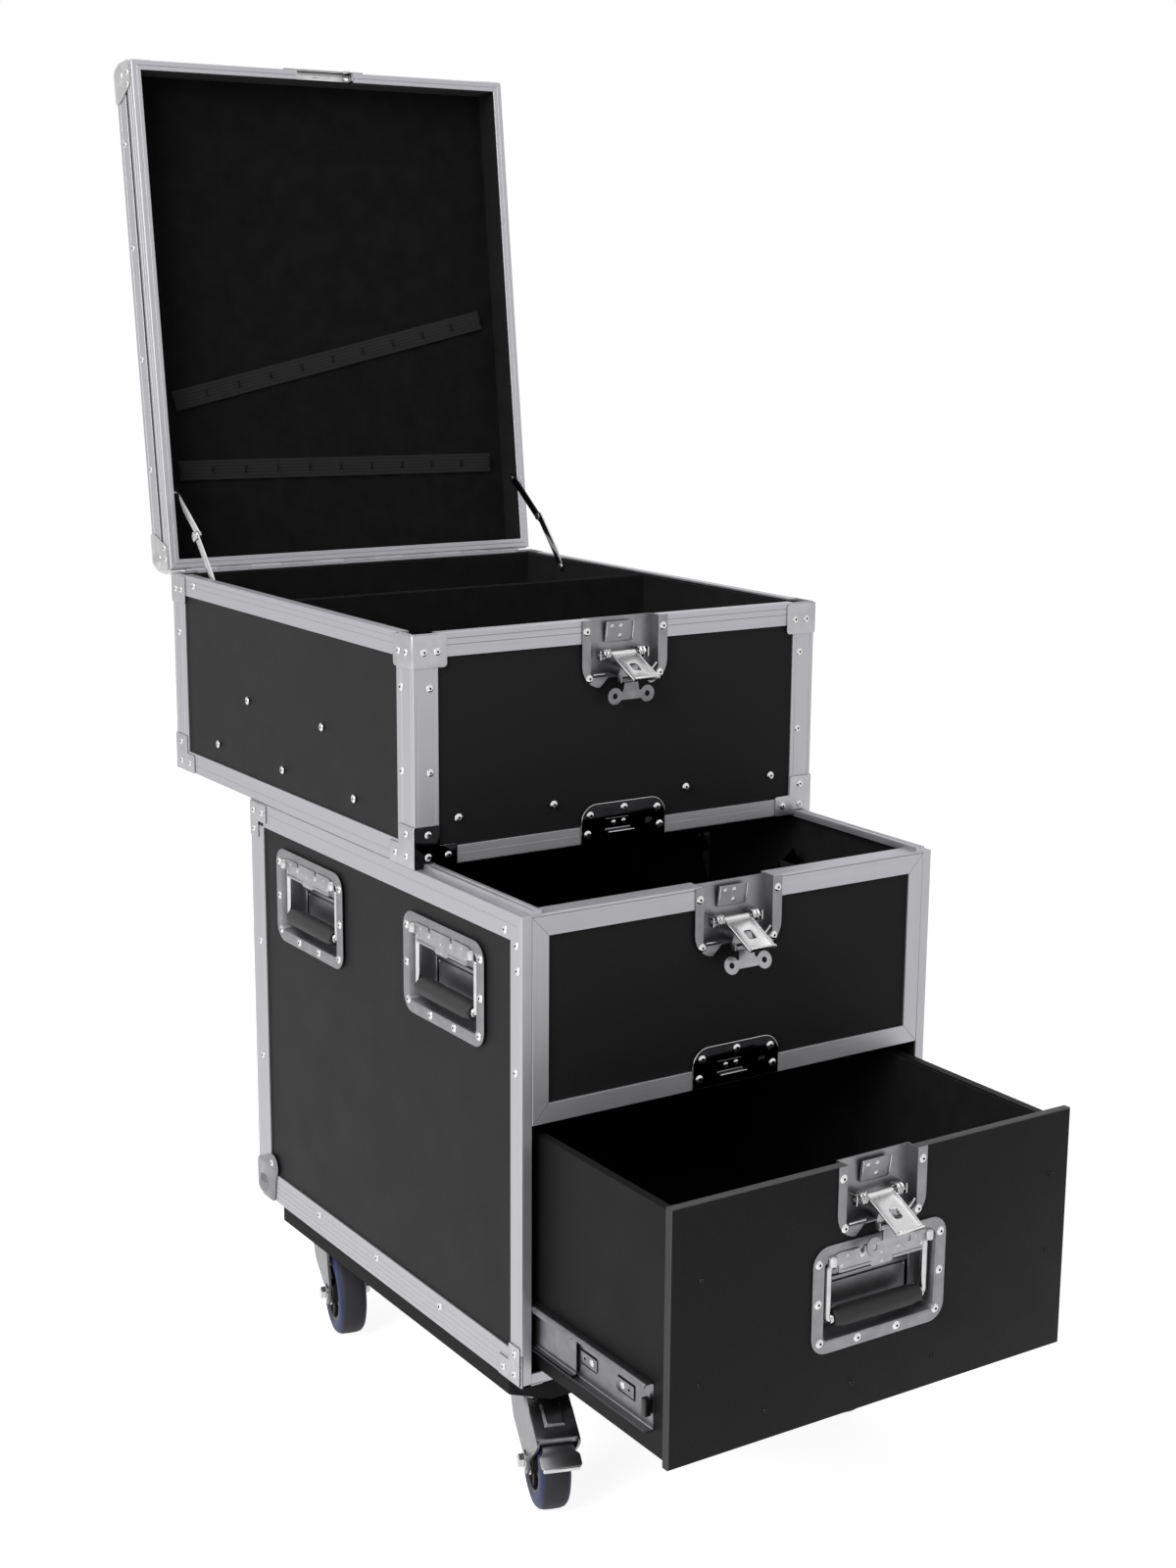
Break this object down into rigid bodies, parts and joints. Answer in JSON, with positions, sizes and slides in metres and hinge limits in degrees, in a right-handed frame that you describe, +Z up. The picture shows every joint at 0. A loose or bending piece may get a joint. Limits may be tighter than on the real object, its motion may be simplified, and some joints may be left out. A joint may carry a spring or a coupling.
{
  "type": "flight case",
  "caption": "Wheeled flight case with a pull-out drawer in its base, a sliding top case and a hinged lid, shown standing open.",
  "frame": {"origin": "floor point under the middle of the open case, as pictured", "axes": "+X to the right of the case seen from its front, -Y out of the front where the drawer pulls, +Z up"},
  "size_m": [0.512, 1.1901, 1.4561],
  "materials": {
    "anodised_rail": "satin anodised aluminium extrusion with fine lengthwise lines",
    "black_panel": "plywood faced with a fine-textured black phenolic film",
    "black_felt": "short black felt lining",
    "black_board": "black painted plywood",
    "chrome_plate": "bright plated pressed steel",
    "zinc_steel": "satin zinc-plated steel",
    "black_rubber": "matt black rubber grip",
    "blue_tyre": "blue elastic rubber tyre on a black hub"
  },
  "bodies": {
    "base": {"castor_board": "black_board", "base_floor": "black_panel", "base_left_panel": "black_panel", "base_right_panel": "black_panel", "base_back_panel": "black_panel", "base_shelf": "black_panel", "base_front_panel": "black_panel", "base_front_strips": "anodised_rail", "base_edge_frame": "anodised_rail", "base_latch_dish": "chrome_plate", "drawer_keeper": "chrome_plate", "handle_dish_left_front": "chrome_plate", "handle_dish_left_rear": "chrome_plate", "handle_dish_right_front": "chrome_plate", "handle_dish_right_rear": "chrome_plate", "drawer_rail_left": "zinc_steel", "drawer_rail_right": "zinc_steel"},
    "bail_left_front": {"handle_bail_left_front": "black_rubber"},
    "bail_left_rear": {"handle_bail_left_rear": "black_rubber"},
    "bail_right_front": {"handle_bail_right_front": "black_rubber"},
    "bail_right_rear": {"handle_bail_right_rear": "black_rubber"},
    "base_hook": {"base_latch_hook": "chrome_plate"},
    "base_wing": {"base_latch_wing": "chrome_plate"},
    "top_case": {"top_case_box": "black_panel", "top_case_frame": "anodised_rail", "top_divider": "black_felt", "top_keeper": "chrome_plate", "lid_latch_dish": "chrome_plate", "hinge_case_leaf": "zinc_steel"},
    "lid_hook": {"lid_latch_hook": "chrome_plate"},
    "lid_wing": {"lid_latch_wing": "chrome_plate"},
    "lid": {"lid_panel": "black_panel", "lid_frame": "anodised_rail", "lid_keeper": "chrome_plate", "hinge_lid_leaf": "zinc_steel"},
    "stay_low_left": {"stay_lower_left": "zinc_steel"},
    "stay_low_right": {"stay_lower_right": "zinc_steel"},
    "stay_high_left": {"stay_upper_left": "zinc_steel"},
    "stay_high_right": {"stay_upper_right": "zinc_steel"},
    "drawer": {"drawer_front": "black_panel", "drawer_box": "black_panel", "drawer_handle_dish": "chrome_plate", "drawer_latch_dish": "chrome_plate", "drawer_slide_left": "zinc_steel", "drawer_slide_right": "zinc_steel"},
    "slide_middle": {"drawer_slide_middle_left": "zinc_steel", "drawer_slide_middle_right": "zinc_steel"},
    "drawer_bail": {"drawer_handle_bail": "black_rubber"},
    "drawer_hook": {"drawer_latch_hook": "chrome_plate"},
    "drawer_wing": {"drawer_latch_wing": "chrome_plate"},
    "fork_front_left": {"castor_fork_front_left": "zinc_steel"},
    "fork_front_right": {"castor_fork_front_right": "zinc_steel"},
    "fork_rear_left": {"castor_fork_rear_left": "zinc_steel"},
    "fork_rear_right": {"castor_fork_rear_right": "zinc_steel"},
    "wheel_front_left": {"castor_wheel_front_left": "blue_tyre"},
    "wheel_front_right": {"castor_wheel_front_right": "blue_tyre"},
    "wheel_rear_left": {"castor_wheel_rear_left": "blue_tyre"},
    "wheel_rear_right": {"castor_wheel_rear_right": "blue_tyre"},
    "pedal_left": {"brake_pedal_left": "zinc_steel"},
    "pedal_right": {"brake_pedal_right": "zinc_steel"}
  },
  "joints": [
    {"name": "top_case_slide", "type": "slide", "parent": "base", "child": "top_case", "axis": [0, 1, 0], "range_m": [-0.2045, 0]},
    {"name": "lid_hinge", "type": "hinge", "parent": "top_case", "child": "lid", "pos_m": [0, 0.4727, 0.8645], "axis": [-1, 0, 0], "range_deg": [-96.9, 0]},
    {"name": "stay_low_left_pivot", "type": "hinge", "parent": "top_case", "child": "stay_low_left", "pos_m": [-0.237, 0.3753, 0.8525], "axis": [1, 0, 0], "range_deg": [-56.2, 0]},
    {"name": "stay_low_right_pivot", "type": "hinge", "parent": "top_case", "child": "stay_low_right", "pos_m": [0.237, 0.3753, 0.8525], "axis": [1, 0, 0], "range_deg": [-56.2, 0]},
    {"name": "stay_high_left_pivot", "type": "hinge", "parent": "lid", "child": "stay_high_left", "pos_m": [-0.2342, 0.4906, 0.956], "axis": [-1, 0, 0], "range_deg": [-27.8, 0]},
    {"name": "stay_high_right_pivot", "type": "hinge", "parent": "lid", "child": "stay_high_right", "pos_m": [0.2342, 0.4906, 0.956], "axis": [-1, 0, 0], "range_deg": [-27.8, 0]},
    {"name": "drawer_pull", "type": "slide", "parent": "base", "child": "drawer", "axis": [0, -1, 0], "range_m": [-0.2283, 0.1717]},
    {"name": "slide_middle_run", "type": "slide", "parent": "base", "child": "slide_middle", "axis": [0, -1, 0], "range_m": [-0.1142, 0.086]},
    {"name": "bail_left_front_swing", "type": "hinge", "parent": "base", "child": "bail_left_front", "pos_m": [-0.246, -0.1782, 0.56], "axis": [0, 1, 0], "range_deg": [0, 90], "stiffness_Nm_per_rad": 0.1},
    {"name": "bail_left_rear_swing", "type": "hinge", "parent": "base", "child": "bail_left_rear", "pos_m": [-0.246, 0.1168, 0.562], "axis": [0, 1, 0], "range_deg": [0, 90], "stiffness_Nm_per_rad": 0.1},
    {"name": "bail_right_front_swing", "type": "hinge", "parent": "base", "child": "bail_right_front", "pos_m": [0.246, -0.1782, 0.56], "axis": [0, -1, 0], "range_deg": [0, 90], "stiffness_Nm_per_rad": 0.1},
    {"name": "bail_right_rear_swing", "type": "hinge", "parent": "base", "child": "bail_right_rear", "pos_m": [0.246, 0.1168, 0.562], "axis": [0, -1, 0], "range_deg": [0, 90], "stiffness_Nm_per_rad": 0.1},
    {"name": "drawer_bail_swing", "type": "hinge", "parent": "drawer", "child": "drawer_bail", "pos_m": [0, -0.5495, 0.3195], "axis": [-1, 0, 0], "range_deg": [0, 90], "stiffness_Nm_per_rad": 0.1},
    {"name": "base_hook_swing", "type": "hinge", "parent": "base", "child": "base_hook", "pos_m": [0, -0.3212, 0.59], "axis": [1, 0, 0], "range_deg": [-105, 0]},
    {"name": "lid_hook_swing", "type": "hinge", "parent": "top_case", "child": "lid_hook", "pos_m": [0, -0.1167, 0.8265], "axis": [1, 0, 0], "range_deg": [-105, 0]},
    {"name": "drawer_hook_swing", "type": "hinge", "parent": "drawer", "child": "drawer_hook", "pos_m": [0, -0.5495, 0.3805], "axis": [1, 0, 0], "range_deg": [-105, 0]},
    {"name": "base_wing_fold", "type": "hinge", "parent": "base", "child": "base_wing", "pos_m": [0, -0.3377, 0.564], "axis": [-1, 0, 0], "range_deg": [-18, 60]},
    {"name": "lid_wing_fold", "type": "hinge", "parent": "top_case", "child": "lid_wing", "pos_m": [0, -0.1332, 0.8005], "axis": [-1, 0, 0], "range_deg": [0, 78]},
    {"name": "drawer_wing_fold", "type": "hinge", "parent": "drawer", "child": "drawer_wing", "pos_m": [0, -0.566, 0.3545], "axis": [-1, 0, 0], "range_deg": [-10, 68]},
    {"name": "swivel_front_left", "type": "hinge", "parent": "base", "child": "fork_front_left", "pos_m": [-0.185, -0.2512, 0.1282], "axis": [0, 0, 1], "continuous": true},
    {"name": "swivel_front_right", "type": "hinge", "parent": "base", "child": "fork_front_right", "pos_m": [0.185, -0.2512, 0.1282], "axis": [0, 0, 1], "continuous": true},
    {"name": "swivel_rear_left", "type": "hinge", "parent": "base", "child": "fork_rear_left", "pos_m": [-0.18, 0.2068, 0.1282], "axis": [0, 0, 1], "continuous": true},
    {"name": "swivel_rear_right", "type": "hinge", "parent": "base", "child": "fork_rear_right", "pos_m": [0.18, 0.2068, 0.1282], "axis": [0, 0, 1], "continuous": true},
    {"name": "roll_front_left", "type": "hinge", "parent": "fork_front_left", "child": "wheel_front_left", "pos_m": [-0.19737, -0.28713, 0.05], "axis": [0.9455, -0.3256, 0], "continuous": true},
    {"name": "roll_front_right", "type": "hinge", "parent": "fork_front_right", "child": "wheel_front_right", "pos_m": [0.17453, -0.28773, 0.05], "axis": [0.9613, -0.2756, 0], "continuous": true},
    {"name": "roll_rear_left", "type": "hinge", "parent": "fork_rear_left", "child": "wheel_rear_left", "pos_m": [-0.18893, 0.16986, 0.05], "axis": [0.972, -0.2351, 0], "continuous": true},
    {"name": "roll_rear_right", "type": "hinge", "parent": "fork_rear_right", "child": "wheel_rear_right", "pos_m": [0.17275, 0.1695, 0.05], "axis": [0.9816, -0.1908, 0], "continuous": true},
    {"name": "pedal_left_press", "type": "hinge", "parent": "fork_front_left", "child": "pedal_left", "pos_m": [-0.20519, -0.30982, 0.1022], "axis": [0.9455, -0.3256, 0], "range_deg": [0, 12]},
    {"name": "pedal_right_press", "type": "hinge", "parent": "fork_front_right", "child": "pedal_right", "pos_m": [0.16791, -0.3108, 0.1022], "axis": [0.9613, -0.2756, 0], "range_deg": [0, 12]}
  ],
  "couplings": [
    {"joint": "slide_middle_run", "follows": "drawer_pull", "ratio": 0.5},
    {"joint": "stay_low_left_pivot", "follows": "lid_hinge", "ratio": 0.577},
    {"joint": "stay_low_right_pivot", "follows": "lid_hinge", "ratio": 0.577},
    {"joint": "stay_high_left_pivot", "follows": "lid_hinge", "ratio": 0.284},
    {"joint": "stay_high_right_pivot", "follows": "lid_hinge", "ratio": 0.284}
  ]
}
